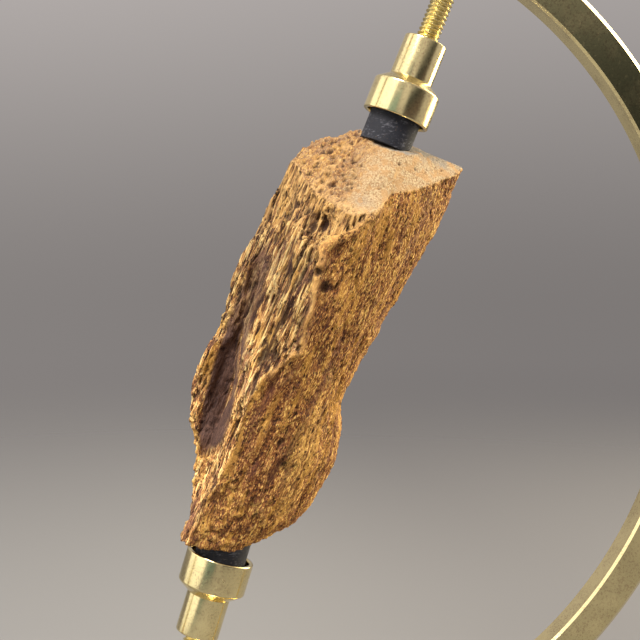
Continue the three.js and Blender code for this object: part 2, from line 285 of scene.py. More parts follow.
def rounded(outline_mm, corners, radius, steps=4):
    """An outline whose named corners, by index, are rounded with short arcs."""
    made = []
    for index, point in enumerate(outline_mm):
        if index not in corners:
            made.append(point)
            continue
        here = Vector(point)
        before = (Vector(outline_mm[index - 1]) - here).normalized()
        after = (Vector(outline_mm[(index + 1) % len(outline_mm)]) - here).normalized()
        for step in range(steps + 1):
            share = step / steps
            pull = before * radius * (1 - share) ** 2 + after * radius * share ** 2
            made.append(tuple(here + pull))
    return made


def placed(places, matrix):
    """Places moved by a matrix."""
    return [matrix @ Vector(place) for place in places]


def join_close(work):
    """Joins places that are hardly apart, which cutting leaves behind."""
    bmesh.ops.remove_doubles(work, verts=work.verts, dist=CLOSE_MM * MM)
    bmesh.ops.dissolve_degenerate(work, edges=work.edges, dist=CLOSE_MM * MM)


def cut(piece, cutters):
    """Cuts pieces out of another, which are then thrown away."""
    for cutter in cutters:
        change = piece.modifiers.new("cut", "BOOLEAN")
        change.operation = "DIFFERENCE"
        change.solver = "EXACT"
        change.object = cutter
    apply_modifiers(piece)
    for cutter in cutters:
        bpy.data.objects.remove(cutter)
    edit(piece.data, join_close)
    piece.data.shade_smooth()
    piece.data.set_sharp_from_angle(angle=math.radians(SHARP_DEGREES))


# Where things are, from the frame


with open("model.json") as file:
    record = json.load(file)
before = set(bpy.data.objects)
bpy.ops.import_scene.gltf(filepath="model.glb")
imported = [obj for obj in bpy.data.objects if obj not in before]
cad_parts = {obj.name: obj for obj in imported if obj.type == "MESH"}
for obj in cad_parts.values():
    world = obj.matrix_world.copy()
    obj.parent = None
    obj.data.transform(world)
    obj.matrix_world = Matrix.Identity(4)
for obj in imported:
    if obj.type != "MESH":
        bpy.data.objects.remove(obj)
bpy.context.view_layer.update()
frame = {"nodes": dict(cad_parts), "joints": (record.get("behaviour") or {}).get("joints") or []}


def ring_middle():
    """The middle of the ring."""
    lowest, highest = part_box("ring")
    return (lowest + highest) / 2


def joint_axis(name):
    """The direction in which a joint moves its clamp."""
    for joint in frame["joints"]:
        if joint["name"] == name:
            return Vector(joint["axis"]).normalized()
    raise ValueError(f"no joint {name}")


def clamp_frame(clamp):
    """A clamp's frame: the origin is in the middle of its cup's rim and Z points out from the bone."""
    outward = joint_axis(clamp + "_screw")
    front = Vector((0, 1, 0))
    side = front.cross(outward)
    places = read_vertices(frame["nodes"][clamp + "_cup"].data)
    middle = []
    for direction in (side, front):
        distances = places @ np.array(direction)
        middle.append((distances.min() + distances.max()) / 2)
    rim = (places @ np.array(outward)).min()
    origin = side * middle[0] + front * middle[1] + outward * rim
    made = Matrix((side, front, outward)).transposed().to_4x4()
    made.translation = origin
    return made


def reach_along(node, matrix):
    """The nearest and farthest place of a node along a frame's Z, in millimetres."""
    places = read_vertices(frame["nodes"][node].data)
    toward = np.array(matrix.col[2][:3])
    distances = (places - np.array(matrix.translation)) @ toward / MM
    return distances.min(), distances.max()


def line_middle():
    """The middle of the bone's line, which is also the upper clamp's line."""
    upper = clamp_frame("upper")
    return upper.translation - joint_axis("upper_screw") * UPPER_RIM_MM * MM


RING_MIDDLE = ring_middle()
MIDDLE = line_middle()
LEAN = math.atan2(joint_axis("upper_screw").x, joint_axis("upper_screw").z)


# Steady noise for numpy arrays, from about -1 to 1


def cell_random(cells, seed):
    """The same random number from 0 to 1 each time for a cell given by whole numbers."""
    mixed = cells[..., 0] * 73856093 ^ cells[..., 1] * 19349663 ^ cells[..., 2] * 83492791
    mixed = (mixed ^ seed * 2654435761) & 0xFFFFFFFF
    mixed = ((mixed ^ mixed >> 16) * 73244475) & 0xFFFFFFFF
    mixed = ((mixed ^ mixed >> 16) * 73244475) & 0xFFFFFFFF
    return (mixed ^ mixed >> 16) / 0xFFFFFFFF


def smooth_noise(places, seed):
    """Smooth noise with one lump to a unit."""
    corner = np.floor(places).astype(np.int64)
    part = places - corner
    part = part * part * (3 - 2 * part)
    total = np.zeros(len(places))
    for step in np.ndindex(2, 2, 2):
        step = np.array(step)
        weight = np.prod(np.where(step == 1, part, 1 - part), axis=1)
        total += weight * cell_random(corner + step, seed)
    return 2 * total - 1


def layered_noise(places, seed, layers):
    """Smooth noise with finer layers on it, each half as strong."""
    total = np.zeros(len(places))
    for layer in range(layers):
        total += smooth_noise(places * 2 ** layer + 17.3 * layer, seed + layer) / 2 ** layer
    return total


def nearest_point(places, seed):
    """Distance to the nearest of points scattered one to a unit cell, and that point's random number."""
    cell = np.floor(places).astype(np.int64)
    nearest = np.full(len(places), 9.0)
    chosen = np.zeros(len(places))
    for step in np.ndindex(3, 3, 3):
        other = cell + np.array(step) - 1
        point = np.stack([cell_random(other, seed + axis) for axis in range(3)], axis=1)
        distance = np.linalg.norm(other + point - places, axis=1)
        closer = distance < nearest
        nearest = np.where(closer, distance, nearest)
        chosen = np.where(closer, cell_random(other, seed + 3), chosen)
    return nearest, chosen


def smooth_step(value, low, high):
    """0 below low, 1 above high and smooth between, with low and high in either order."""
    share = np.clip((value - low) / (high - low), 0, 1)
    return share * share * (3 - 2 * share)


# The bone's own directions: across to the right, toward the front, and along it upward, in millimetres


def directions_to_bone(directions):
    """Directions in the bone's own axes."""
    across = directions[:, 0] * math.cos(LEAN) - directions[:, 2] * math.sin(LEAN)
    along = directions[:, 0] * math.sin(LEAN) + directions[:, 2] * math.cos(LEAN)
    return np.stack([across, -directions[:, 1], along], axis=1)


def to_bone(places):
    """Places in metres as across, front and along in millimetres."""
    return directions_to_bone((places - np.array(MIDDLE)) / MM)


def stretch_matrix():
    """To the bone's own axes about its line's middle, shortened lengthwise."""
    turn = Matrix.Rotation(-LEAN, 4, "Y")
    return Matrix.Diagonal((1, 1, BONE_STRETCH, 1)) @ turn @ Matrix.Translation(-MIDDLE)


def fine_bone_mesh():
    """The CAD bone's surface on a fine even mesh, whose cells are longer along the bone than across it."""
    mesh = frame["nodes"]["bone"].data.copy()
    edit(mesh, lambda work: bmesh.ops.remove_doubles(work, verts=work.verts, dist=WELD))
    mesh.transform(stretch_matrix())
    piece = new_object("bone_detailed", mesh)
    remesh = piece.modifiers.new("even", "REMESH")
    remesh.mode = "VOXEL"
    remesh.voxel_size = BONE_CELL_MM * MM
    apply_modifiers(piece)
    piece.data.transform(stretch_matrix().inverted())
    return piece


# Marks seen in the photograph: along, across, front, radius, height (or depth, below 0), and how many times
# longer along the bone
BONE_MARKS = {
    "canal beside the break": (25.2, -10.3, 6.2, 1.5, -1.8, 2.0),
    "hole left of the canal": (25.5, -12.7, 2.9, 0.8, -1.1, 1.2),
    "slit left of the canal": (21.5, -13.0, 3.4, 0.6, -1.0, 4.0),
    "slit under the canal": (19.0, -12.2, 6.4, 0.5, -0.9, 6.0),
    "pit in the break": (23.5, -7.2, 9.7, 1.0, -0.9, 2.0),
    "second pit in the break": (22.3, -8.9, 8.9, 0.8, -0.8, 1.8),
    "third pit in the break": (23.8, -5.4, 12.6, 0.7, -0.8, 1.8),
    "ledge under the break": (19.6, -9.4, 9.6, 1.7, 0.6, 0.4),
    "ledge at the tongue": (21.2, -6.6, 13.4, 1.5, 0.6, 0.4),
    "groove beside the hollow": (12.5, -13.6, 1.0, 1.0, -1.3, 4.5),
    "groove by the shoulder": (3.6, -13.1, 5.6, 0.9, -1.2, 6.0),
    "slit by the tongue": (12.7, -8.3, 12.7, 0.6, -1.2, 5.0),
    "slit in the tongue's edge": (14.5, -6.0, 15.6, 0.7, -1.1, 2.2),
    "round pit of the ridge": (12.2, -3.8, 15.5, 1.4, -0.9, 1.2),
    "slit by the ridge": (4.0, -8.5, 12.3, 0.8, -1.3, 4.5),
    "slit beside it": (1.0, -10.2, 10.0, 0.6, -1.1, 5.0),
    "slit low on the left": (-4.6, -9.6, 11.2, 0.9, -1.3, 3.6),
    "slit under the ridge": (-4.0, -7.6, 13.0, 0.6, -1.1, 3.0),
    "pit at the low step": (-1.9, -6.2, 14.1, 0.7, -0.9, 1.2),
    "slit right of the ridge": (13.5, -1.6, 15.0, 0.5, -0.8, 3.0),
    "pit in the right face": (-23.6, 3.2, 10.2, 1.1, -0.9, 1.2),
    "pit by the low ridge": (-19.5, 0.5, 11.4, 0.9, -0.7, 1.4),
    "slit near the bottom": (-35.0, 1.4, 8.6, 0.55, -0.8, 2.2),
    "hole in the top": (37.2, -4.7, 0.0, 1.2, -0.8, 1.0),
    "nodule on the rim": (0.8, -16.4, -3.3, 1.5, 0.8, 1.0),
    "nodule left of it": (-0.9, -16.9, -4.4, 1.2, 0.7, 1.0),
    "nodule under it": (-1.8, -15.8, -3.2, 1.1, 0.7, 1.2),
}

# Browner or more golden parts of the right face: kind, along, across, front, radius and times longer along
BONE_PATCHES = {
    "grains low on the face": ("russet", -24.0, -1.6, 11.0, 6.4, 1.5),
    "lumps under the ridge": ("russet", -10.5, -4.4, 13.4, 4.0, 1.3),
    "strip beside the ridge": ("russet", 9.0, -2.4, 14.5, 3.0, 3.0),
    "lower side": ("gilded", -19.0, 6.2, 9.0, 4.4, 2.2),
    "side by the bottom": ("gilded", -31.0, 7.5, 7.2, 3.4, 1.6),
}

# The hollow's left and right border, as across at a few places along
HOLLOW_ALONG = (-32.0, -24.0, -17.5, -11.8, -7.2, -3.5, 4.0, 10.7, 16.0)
HOLLOW_LEFT = (-11.0, -13.8, -15.2, -16.0, -16.3, -16.4, -16.6, -16.6, -16.4)
HOLLOW_RIGHT = (-10.4, -9.6, -10.1, -11.0, -12.1, -12.8, -13.1, -13.8, -14.6)

# The broken edge of the right face's layer, as across at a few places along
LAYER_ALONG = (-46.0, -33.5, -23.0, -15.0, -10.0, -6.6, -0.9, 8.0, 14.9, 18.9, 21.8, 24.5, 28.6)
LAYER_EDGE = (-8.1, -8.2, -7.6, -8.8, -8.5, -7.3, -4.2, -5.4, -6.6, -7.4, -5.5, -3.0, -0.5)

# How high the layer's edge stands, and how much of that the painted crest highlight leaves out
LAYER_HEIGHT_MM = 1.0
LAYER_SHARE = 0.9

# Where the rim's lumps are, as across, front and along
RIM_LUMPS = (-16.2, -2.8, -1.0)

# How far, in millimetres, each kind of fine relief lifts or sinks the surface
RELIEF_MM = {
    "lumps": 0.15,
    "left plates": 0.38, "left fibres": 0.10, "left furrows": 0.65, "left slits": 0.35,
    "right fibres": 0.12, "right grains": 0.40, "right furrows": 0.30,
    "layer crumbs": 0.35, "top crumbs": 0.15, "crumbly crumbs": 0.65, "coarse lumps": 0.75,
}

# Scattered pits: area, cell and depth in millimetres, seed, how much of its cell a pit fills and which share
# of the cells have one
PIT_KINDS = {
    "long slits": ("left", (1.05, 1.05, 8.5), 1.1, 40, 0.42, 0.65),
    "short slits": ("left", (0.8, 0.8, 4.2), 0.7, 44, 0.44, 0.6),
    "pits of the right face": ("right", (1.0, 1.0, 2.4), 0.5, 48, 0.38, 0.45),
    "pits of the top": ("top", (1.5, 1.5, 1.5), 0.45, 52, 0.30, 0.3),
    "holes between crumbs": ("crumbly", (1.5, 1.5, 1.5), 0.8, 56, 0.46, 0.55),
    "small holes between crumbs": ("crumbly", (0.9, 0.9, 0.9), 0.6, 64, 0.46, 0.6),
}


def pits(places, cell, seed, size, share):
    """How deep scattered pits are, from 0 to 1, in cells of a size; share of the cells have one."""
    distance, chosen = nearest_point(places / np.array(cell), seed)
    return smooth_step(distance, size, size * 0.35) * (chosen < share)


def valleys(values, width):
    """1 where a noise passes through 0 and less on both sides, 0 beyond a width."""
    return smooth_step(np.abs(values), width, 0.0)


def distance_from(places, along, across, front, radius, stretch):
    """Distance from a middle in radii, where the radius is stretched along the bone."""
    away = (places - np.array((across, front, along))) / np.array((1, 1, stretch))
    return np.linalg.norm(away, axis=1) / radius


def patch_mask(places, kind):
    """Where the patches of a kind are, with ragged borders."""
    ragged = layered_noise(places / 2.2, 74, 3)
    total = np.zeros(len(places))
    for patch_kind, along, across, front, radius, stretch in BONE_PATCHES.values():
        if patch_kind == kind:
            distance = distance_from(places, along, across, front, radius, stretch) + 0.25 * ragged
            total = np.maximum(total, smooth_step(distance, 1.05, 0.5))
    return total


def bone_masks(places, normals):
    """Where each kind of surface is, from 0 to 1."""
    across, front, along = places.T
    level = normals[:, 2]
    top = smooth_step(level, 0.24, 0.40) * smooth_step(along, 25, 30)
    ragged = layered_noise(places / 1.8, 70, 2)
    beyond_layer = np.interp(along, LAYER_ALONG, LAYER_EDGE) - across + 0.5 * ragged
    beyond_edge = smooth_step(beyond_layer, -0.4, 0.3)
    faces_left = smooth_step(-normals[:, 0], -0.05, 0.35)
    left = np.where(front > 5, beyond_edge, faces_left)
    left *= (1 - top) * smooth_step(front, -9, -5)
    layer = smooth_step(beyond_layer, 0.3, -0.1) * smooth_step(beyond_layer, -2.4, -0.3)
    layer = layer * smooth_step(along, -12, -6) * smooth_step(front, 5, 7) * (1 - top)
    border = np.interp(along, HOLLOW_ALONG, HOLLOW_LEFT)
    other_border = np.interp(along, HOLLOW_ALONG, HOLLOW_RIGHT)
    hollow = smooth_step(across, border, border + 1.0)
    hollow *= smooth_step(across, other_border + 0.7, other_border)
    hollow *= smooth_step(front, 7.0, 5.5) * smooth_step(front, -8.0, -6.0)
    hollow *= smooth_step(along, -31, -26) * smooth_step(along, 17, 13)
    rim = smooth_step(np.linalg.norm((places - RIM_LUMPS) / (1, 1, 1.6), axis=1), 4.5, 3.0)
    uneven_level = level + 0.15 * layered_noise(places / 3.0, 90, 2)
    return {
        "top": top,
        "flat_tone_and_shade": top * smooth_step(uneven_level, 0.55, 0.95),
        "crumbly": top * smooth_step(across + 0.4 * front, 3.0, -6.0),
        "left": left,
        "layer": layer,
        "pale": smooth_step(along, 24, -34),
        "shoulder": left * smooth_step(along, 15, 27),
        "russet": patch_mask(places, "russet"),
        "gilded": patch_mask(places, "gilded"),
        "hollow": hollow * (0.75 + 0.25 * smooth_step(along, 1, -4)),
        "smooth": hollow * smooth_step(along, 1, -4),
        "coarse": np.maximum(smooth_step(along + 0.5 * across, -27, -36), rim),
    }


def drifting(places, cell, seed, layers):
    """Three noises over places, one for each direction, for bending other patterns."""
    if layers == 1:
        return np.stack([smooth_noise(places / cell, seed + axis) for axis in range(3)], axis=1)
    return np.stack([layered_noise(places / cell, seed + 3 * axis, layers) for axis in range(3)], axis=1)


def bone_relief(places, masks):
    """How far the fine relief lifts each place, in millimetres, and how deep in a pit it is, from 0 to 1."""
    wavy = places + 0.7 * drifting(places, 18.0, 60, 1)
    warped = places + 0.5 * drifting(places, 1.3, 80, 2)
    left = masks["left"] * (1 - 0.9 * masks["smooth"])
    right = (1 - masks["left"]) * (1 - masks["top"])
    areas = {"left": left, "right": right, "top": masks["top"], "crumbly": masks["crumbly"]}
    reach = RELIEF_MM

    wide = layered_noise(wavy / np.array((1.3, 1.3, 19.0)), 1, 2)
    narrow = smooth_noise(wavy / np.array((0.75, 0.75, 11.0)), 5)
    fibre = layered_noise(wavy / np.array((0.9, 0.9, 6.0)), 7, 2)
    furrow = smooth_noise(wavy / np.array((1.7, 1.7, 10.0)), 12)
    lumps = layered_noise(places / 3.6, 9, 3)
    grains = 0.5 - nearest_point(places / np.array((0.75, 0.75, 1.1)), 20)[0]
    coarse = 0.5 - nearest_point(places / 1.6, 30)[0]
    crumbs = 0.5 - nearest_point(places / 1.1, 34)[0]
    plates = (1.3 * wide) % 1.0 - 0.5

    lift = reach["lumps"] * lumps + LAYER_HEIGHT_MM * masks["layer"]
    lift += left * (reach["left plates"] * plates + reach["left fibres"] * fibre)
    lift += right * (reach["right fibres"] * fibre + reach["right grains"] * grains)
    lift += masks["layer"] * reach["layer crumbs"] * crumbs
    lift += (masks["top"] * reach["top crumbs"] + masks["crumbly"] * reach["crumbly crumbs"]) * crumbs
    lift += masks["coarse"] * reach["coarse lumps"] * coarse
    sunk = left * (reach["left furrows"] * valleys(wide, 0.18) + reach["left slits"] * valleys(narrow, 0.24))
    sunk = np.maximum(sunk, right * reach["right furrows"] * valleys(furrow, 0.14))
    sunk *= 1 - 0.45 * masks["shoulder"]
    for area, cell, depth, seed, size, share in PIT_KINDS.values():
        shape = pits(wavy if area == "left" else warped, cell, seed, size, share)
        sunk = np.maximum(sunk, areas[area] * depth * shape)
    for along, across, front, radius, height, stretch in BONE_MARKS.values():
        shape = smooth_step(distance_from(places, along, across, front, radius, stretch), 1.0, 0.35)
        if height < 0:
            sunk = np.maximum(sunk, -height * shape)
        else:
            lift += height * shape
    return lift - sunk, smooth_step(sunk, 0.08, 0.55)


def set_mask(mesh, name, values):
    """Keeps one number for each vertex under a name, which the material reads."""
    made = mesh.attributes.new(name, "FLOAT", "POINT")
    made.data.foreach_set("value", values.astype(np.float32))


def make_bone():
    """The fossil bone with its striations, canals, grains and pits."""
    piece = fine_bone_mesh()
    mesh = piece.data
    world = read_vertices(mesh)
    outward = read_normals(mesh)
    places = to_bone(world)
    masks = bone_masks(places, directions_to_bone(outward))
    lift, depth = bone_relief(places, masks)
    moved = world + outward * lift[:, None] * MM
    mesh.vertices.foreach_set("co", moved.ravel())
    mesh.update()
    mesh.shade_smooth()
    # The relief, less most of the layer's height, places the painted crest highlight
    set_mask(mesh, "relief", lift - LAYER_SHARE * LAYER_HEIGHT_MM * masks["layer"])
    # How deep in a pit each place is, which places the painted shade in pits
    set_mask(mesh, "depth", depth)
    for name, values in masks.items():
        set_mask(mesh, name, values)
    finish_piece(piece, bone_material(), "lower_clamp", "bone")
    return piece


# Node helpers


def new_material(name):
    """A node material with only its shader and output, and that shader."""
    material = bpy.data.materials.new(name)
    material.use_nodes = True
    tree = material.node_tree
    shader = tree.nodes["Principled BSDF"]
    return material, tree, shader


def add_node(tree, kind, inputs=None, **settings):
    """A node with its settings. An input is a value or another node's output."""
    made = tree.nodes.new("ShaderNode" + kind)
    for name, value in settings.items():
        setattr(made, name, value)
    for key, value in (inputs or {}).items():
        if isinstance(value, bpy.types.NodeSocket):
            tree.links.new(value, made.inputs[key])
        else:
            made.inputs[key].default_value = value
    return made


def calculate(tree, operation, first, second=0.0, third=0.0, clamp=False):
    """The result of a math node."""
    made = add_node(tree, "Math", {0: first, 1: second, 2: third}, operation=operation, use_clamp=clamp)
    return made.outputs[0]


def remap(tree, value, low, high, to_low=0.0, to_high=1.0):
    """A value taken smoothly from one range to another."""
    made = add_node(tree, "MapRange", {0: value, 1: low, 2: high, 3: to_low, 4: to_high},
                    interpolation_type="SMOOTHSTEP")
    return made.outputs[0]


def multiply(tree, first, second, clamp=False):
    """The product of two values."""
    return calculate(tree, "MULTIPLY", first, second, clamp=clamp)


def between(tree, value, borders):
    """1 between the two middle borders, falling smoothly to 0 at the outer ones."""
    start, full_from, full_to, end = borders
    return multiply(tree, remap(tree, value, start, full_from), remap(tree, value, end, full_to))


def mix(tree, share, first, second, blend="MIX"):
    """Two colours mixed by a share."""
    made = add_node(tree, "Mix", data_type="RGBA", blend_type=blend)
    for key, value in ((0, share), (6, first), (7, second)):
        if isinstance(value, bpy.types.NodeSocket):
            tree.links.new(value, made.inputs[key])
        elif key == 0:
            made.inputs[key].default_value = value
        else:
            made.inputs[key].default_value = (*value, 1)
    return made.outputs[2]


def object_places(tree, size_mm, turn=0.0, middle=(0, 0, 0)):
    """The piece's own coordinates, measured in cells of a size, about a middle and turned about Y."""
    source = add_node(tree, "TexCoord").outputs["Object"]
    scale = tuple(value * MM for value in size_mm)
    mapped = add_node(tree, "Mapping", {
        "Vector": source,
        "Location": middle,
        "Rotation": (0, turn, 0),
        "Scale": scale,
    }, vector_type="TEXTURE")
    return mapped.outputs[0]


def ramp(tree, share, stops):
    """A colour that runs through (place, colour) stops as share goes from 0 to 1."""
    made = add_node(tree, "ValToRGB", {0: share})
    elements = made.color_ramp.elements
    while len(elements) < len(stops):
        elements.new(0.5)
    for element, (place, colour) in zip(elements, stops):
        element.position = place
        element.color = (*colour, 1)
    return made.outputs[0]


def noise(tree, places, detail=3.0, roughness=0.6):
    """Noise from about 0.2 to 0.8 over mapped places."""
    made = add_node(tree, "TexNoise", {
        "Vector": places,
        "Scale": 1.0,
        "Detail": detail,
        "Roughness": roughness,
    })
    return made.outputs[0]


def cells(tree, places):
    """A cell pattern: distance to the nearest point, and a random number for its cell."""
    made = add_node(tree, "TexVoronoi", {"Vector": places, "Scale": 1.0})
    chosen = add_node(tree, "SeparateColor", {0: made.outputs["Color"]}).outputs[0]
    return made.outputs["Distance"], chosen


def mask(tree, name):
    """A number kept on the mesh's vertices."""
    return add_node(tree, "Attribute", attribute_name=name).outputs["Fac"]


# Materials


def bone_material():
    """Fossil bone: ochre ridges with painted highlights, brown grains, painted shade in its canals, a pale
    broken top.
    """
    material, tree, shader = new_material("fossil_bone")

    def along(size_mm):
        return object_places(tree, size_mm, LEAN, tuple(MIDDLE))

    relief = mask(tree, "relief")
    top = mask(tree, "top")
    hollow = mask(tree, "hollow")
    streak = noise(tree, along((0.26, 0.26, 5.0)), roughness=0.65)
    grain = noise(tree, along((0.26, 0.26, 0.8)), detail=2.0, roughness=0.65)
    broad = noise(tree, along((1.4, 1.4, 9.0)))
    patch = noise(tree, along((3.4, 3.4, 9.0)))
    speck = noise(tree, along((0.33, 0.33, 0.45)), detail=2.0, roughness=0.75)
    distance, chosen = cells(tree, along((0.55, 0.55, 1.0)))
    slit_distance, slit_chosen = cells(tree, along((0.6, 0.6, 4.5)))

    left_share = calculate(tree, "MULTIPLY_ADD", streak, 0.65, multiply(tree, broad, 0.35))
    left_colour = ramp(tree, left_share, LEFT_RAMP)
    left_colour = mix(tree, remap(tree, patch, 0.52, 0.66, 0.0, 0.65), left_colour, LEFT_GOLD)
    left_colour = mix(tree, remap(tree, patch, 0.48, 0.36, 0.0, 0.6), left_colour, LEFT_BROWN)
    paleness = remap(tree, mask(tree, "pale"), 0.0, 1.0, 0.75, 1.45)
    left_colour = mix(tree, 1.0, left_colour, paleness, "MULTIPLY")
    golden = multiply(tree, mask(tree, "shoulder"), remap(tree, broad, 0.38, 0.58, 0.05, 0.65))
    left_colour = mix(tree, golden, left_colour, LEFT_SHOULDER)

    right_share = calculate(tree, "MULTIPLY_ADD", grain, 0.7, multiply(tree, broad, 0.3))
    right_colour = ramp(tree, right_share, RIGHT_RAMP)
    band = noise(tree, along((2.2, 2.2, 15.0)), roughness=0.55)
    right_colour = mix(tree, remap(tree, band, 0.52, 0.64, 0.0, 0.6), right_colour, RIGHT_GOLD)
    right_colour = mix(tree, remap(tree, band, 0.47, 0.36, 0.0, 0.6), right_colour, RIGHT_BROWN)
    right_colour = mix(tree, mask(tree, "russet"), right_colour, RUSSET_SHADE, "MULTIPLY")
    gilded = multiply(tree, mask(tree, "gilded"), remap(tree, streak, 0.4, 0.6, 0.05, 0.35))
    right_colour = mix(tree, gilded, right_colour, GILDED)

    top_colour = ramp(tree, speck, TOP_RAMP)
    # Greyer, darker colour on the top's flats: partly their own tone, partly painted shade against the light
    # they catch
    top_colour = mix(tree, mask(tree, "flat_tone_and_shade"), top_colour, ramp(tree, speck, FLAT_TONE_AND_SHADE_RAMP))
    tan = noise(tree, along((2.2, 2.2, 2.2)), detail=4.0)
    top_colour = mix(tree, remap(tree, tan, 0.50, 0.58, 0.0, 0.7), top_colour, TOP_TAN)
    crumbs = noise(tree, along((0.9, 0.9, 0.9)), roughness=0.65)
    crumbs = multiply(tree, remap(tree, crumbs, 0.50, 0.60, 0.0, 0.75), mask(tree, "crumbly"))
    top_colour = mix(tree, crumbs, top_colour, TOP_CRUMBS)

    colour = mix(tree, mask(tree, "left"), right_colour, left_colour)
    colour = mix(tree, hollow, colour, ramp(tree, streak, HOLLOW_RAMP))
    # Painted highlight on the crests of the raised relief, none in the hollow and weaker off the left face
    crest_highlight = remap(tree, relief, 0.05, 0.4, 0.0, 0.62)
    crest_highlight = multiply(tree, crest_highlight, calculate(tree, "SUBTRACT", 1.0, hollow))
    crest_highlight = multiply(tree, crest_highlight, remap(tree, mask(tree, "left"), 0.0, 1.0, 0.4, 1.0))
    colour = mix(tree, crest_highlight, colour, PAINTED_CREST_HIGHLIGHT)
    # Painted highlight on the raised layer near its broken edge
    ledge = calculate(tree, "POWER", mask(tree, "layer"), 5.0)
    colour = mix(tree, multiply(tree, ledge, 0.6), colour, PAINTED_LEDGE_HIGHLIGHT)
    bare_top = calculate(tree, "MULTIPLY_ADD", mask(tree, "crumbly"), -0.6, top)
    colour = mix(tree, bare_top, colour, top_colour)
    # Painted highlight on the band where the broken top turns down into the sides
    brink_highlight = multiply(tree, top, calculate(tree, "SUBTRACT", 1.0, top))
    colour = mix(tree, multiply(tree, brink_highlight, 2.4), colour, PAINTED_BRINK_HIGHLIGHT)
    # Painted shade, darkest at the bottom of canals, slits and pits
    colour = mix(tree, multiply(tree, mask(tree, "depth"), 0.88), colour, PAINTED_PIT_SHADE)
    # Fine pits and, on the left face, slits: a dip in the bump and painted shade in them
    pit = remap(tree, distance, 0.42, 0.15)
    pit = multiply(tree, pit, calculate(tree, "LESS_THAN", chosen, 0.35))
    slit = remap(tree, slit_distance, 0.4, 0.15)
    slit = multiply(tree, slit, calculate(tree, "LESS_THAN", slit_chosen, 0.5))
    slit = multiply(tree, slit, mask(tree, "left"))
    open_part = calculate(tree, "SUBTRACT", 1.0, calculate(tree, "MAXIMUM", hollow, top))
    fine_pits = multiply(tree, calculate(tree, "MAXIMUM", pit, slit), open_part, clamp=True)
    colour = mix(tree, multiply(tree, fine_pits, 0.8), colour, PAINTED_FINE_PIT_SHADE)
    tree.links.new(colour, shader.inputs["Base Color"])

    height = calculate(tree, "MULTIPLY_ADD", left_share, 0.4, multiply(tree, grain, 0.5))
    height = calculate(tree, "MULTIPLY_ADD", speck, 0.3, height)
    height = calculate(tree, "SUBTRACT", height, multiply(tree, fine_pits, 0.6))
    bump = add_node(tree, "Bump", {"Height": height, "Distance": 0.6 * MM, "Strength": 1.0})
    tree.links.new(bump.outputs[0], shader.inputs["Normal"])
    tree.links.new(remap(tree, speck, 0.3, 0.7, 0.62, 0.92), shader.inputs["Roughness"])
    shader.inputs["Specular IOR Level"].default_value = 0.35
    return material


def brass_material(name, roughness, colour, turn, middle, line_mm=0.22, line_depth=0.1):
    """Turned and polished brass with faint lathe lines across its own axis and a few handling marks."""
    material, tree, shader = new_material(name)
    shader.inputs["Metallic"].default_value = 1.0
    line_places = object_places(tree, (60.0, 60.0, line_mm), turn, middle)
    lines = noise(tree, line_places, detail=2.0)
    smudge = noise(tree, object_places(tree, (9.0, 9.0, 9.0)), detail=4.0)
    speck = noise(tree, object_places(tree, (0.8, 0.8, 0.8)), detail=2.0, roughness=0.5)
    darker = tuple(value * DULLER for value in colour)
    tint = mix(tree, remap(tree, smudge, 0.42, 0.62), colour, darker)
    tarnish = noise(tree, object_places(tree, (0.45, 0.45, 0.45)), roughness=0.7)
    tarnish = remap(tree, tarnish, 0.5, 0.64)
    tarnish = multiply(tree, tarnish, remap(tree, smudge, 0.40, 0.58, 0.15, 0.6))
    tint = mix(tree, tarnish, tint, TARNISH)
    tree.links.new(tint, shader.inputs["Base Color"])
    marks = calculate(tree, "MULTIPLY_ADD", remap(tree, smudge, 0.45, 0.7), 0.09, roughness)
    marks = calculate(tree, "MULTIPLY_ADD", remap(tree, speck, 0.62, 0.7), 0.05, marks)
    tree.links.new(marks, shader.inputs["Roughness"])
    bump = add_node(tree, "Bump", {"Height": lines, "Distance": 0.02 * MM, "Strength": line_depth})
    tree.links.new(bump.outputs[0], shader.inputs["Normal"])
    return material


def rubber_material():
    """Matte black rubber with pale scuffs and dust from the bone."""
    material, tree, shader = new_material("black_rubber")
    scuff = noise(tree, object_places(tree, (1.1, 1.1, 0.35)), detail=5.0, roughness=0.75)
    worn = noise(tree, object_places(tree, (2.4, 2.4, 2.4)), detail=2.0, roughness=0.5)
    scuff = calculate(tree, "MULTIPLY_ADD", worn, 0.3, multiply(tree, scuff, 0.72))
    dust = noise(tree, object_places(tree, (0.3, 0.3, 0.3)), detail=2.0)
    colour = mix(tree, remap(tree, scuff, 0.53, 0.63, 0, 0.7), RUBBER, RUBBER_SCUFFS)
    colour = mix(tree, remap(tree, dust, 0.66, 0.74, 0, 0.5), colour, RUBBER_DUST)
    tree.links.new(colour, shader.inputs["Base Color"])
    tree.links.new(remap(tree, scuff, 0.4, 0.7, 0.7, 0.95), shader.inputs["Roughness"])
    bump = add_node(tree, "Bump", {"Height": scuff, "Distance": 0.12 * MM, "Strength": 0.5})
    tree.links.new(bump.outputs[0], shader.inputs["Normal"])
    return material


# Pieces of the stand


def ring_outline(margin=0.0):
    """The ring's bar as (radius, width) corners, with narrow bright edges."""
    inner = RING_INNER_MM - margin
    outer = RING_OUTER_MM + margin
    half = RING_WIDTH_MM / 2 + margin
    near = RING_INNER_EDGE_MM
    far = RING_OUTER_EDGE_MM
    return [
        (inner, -half + near), (inner + near, -half), (outer - far, -half), (outer, -half + far),
        (outer, half - far), (outer - far, half), (inner + near, half), (inner, half - near),
        (inner, -half + near),
    ]


